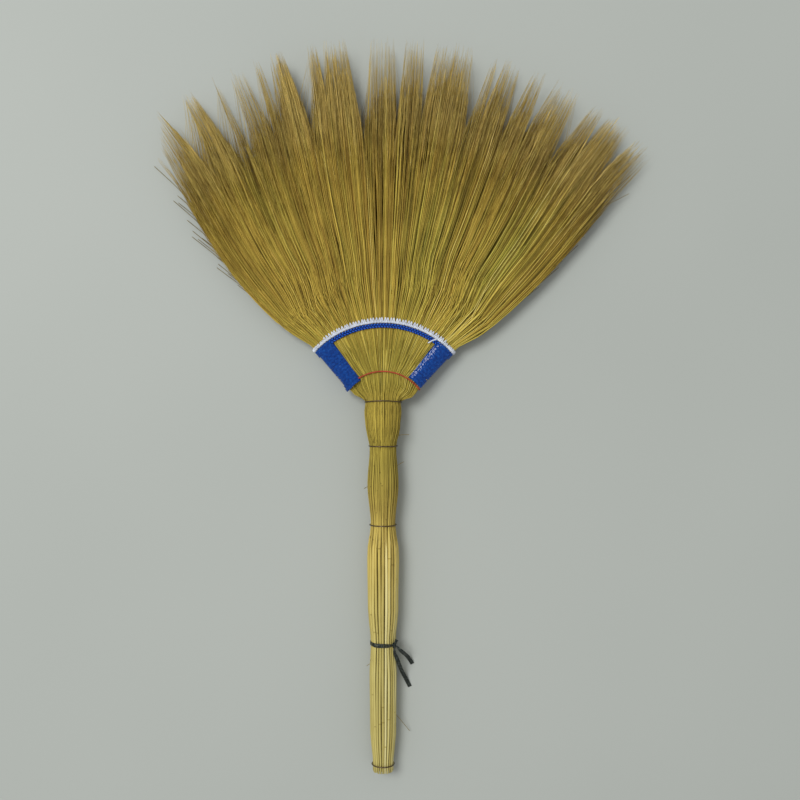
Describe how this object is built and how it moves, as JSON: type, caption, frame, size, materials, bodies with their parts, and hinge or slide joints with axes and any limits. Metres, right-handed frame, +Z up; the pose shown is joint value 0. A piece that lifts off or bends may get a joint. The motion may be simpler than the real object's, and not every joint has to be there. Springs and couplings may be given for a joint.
{
  "type": "grass broom",
  "caption": "Grass broom: a wired round bundle of stalks is the handle and opens into a flat fan of plumes, held by a sewn cord seam and strap-wound edges.",
  "frame": {"origin": "middle of the broom's box, on the floor that it lies on", "axes": "+Y along the broom from the butt end to the tips, +X across the fan to the right seen from above, +Z up, out of the flat front of the fan"},
  "size_m": [0.5918, 0.903, 0.0468],
  "materials": {
    "grass": "dry, matt, golden olive plumes on pale straw stalks",
    "core_grass": "dry, matt, paler grass from the middle of the bundle",
    "wire": "dark brown oxidised soft iron wire with a dull shine",
    "blue_strap": "glossy flat plastic strap, deep blue",
    "white_thread": "matt synthetic cord, cool white",
    "red_cord": "matt twisted cord, rose red",
    "black_strap": "thin flat plastic strap, black with a soft sheen"
  },
  "bodies": {
    "root": {"grass_stalk_front_01": "grass", "grass_stalk_front_02": "grass", "grass_stalk_front_03": "grass", "grass_stalk_front_04": "grass", "grass_stalk_front_05": "grass", "grass_stalk_front_06": "grass", "grass_stalk_front_07": "grass", "grass_stalk_front_08": "grass", "grass_stalk_front_09": "grass", "grass_stalk_front_10": "grass", "grass_stalk_front_11": "grass", "grass_stalk_front_12": "grass", "grass_stalk_front_13": "grass", "grass_stalk_back_01": "grass", "grass_stalk_back_02": "grass", "grass_stalk_back_03": "grass", "grass_stalk_back_04": "grass", "grass_stalk_back_05": "grass", "grass_stalk_back_06": "grass", "grass_stalk_back_07": "grass", "grass_stalk_back_08": "grass", "grass_stalk_back_09": "grass", "grass_stalk_back_10": "grass", "grass_stalk_back_11": "grass", "grass_stalk_back_12": "grass", "grass_stalk_back_13": "grass", "core_hank_1": "core_grass", "core_hank_2": "core_grass", "core_hank_3": "core_grass", "core_hank_4": "core_grass", "core_hank_5": "core_grass", "core_hank_6": "core_grass", "core_hank_7": "core_grass", "butt_wire": "wire", "middle_wire": "wire", "upper_wire": "wire", "neck_wire": "wire", "red_neck_cord": "red_cord", "blue_seam_band": "blue_strap", "white_seam_edging": "white_thread", "white_thread_end": "white_thread", "left_side_binding": "blue_strap", "right_side_binding": "blue_strap", "tie_strap": "black_strap", "tie_tail_short": "black_strap", "tie_tail_long": "black_strap"}
  },
  "joints": []
}
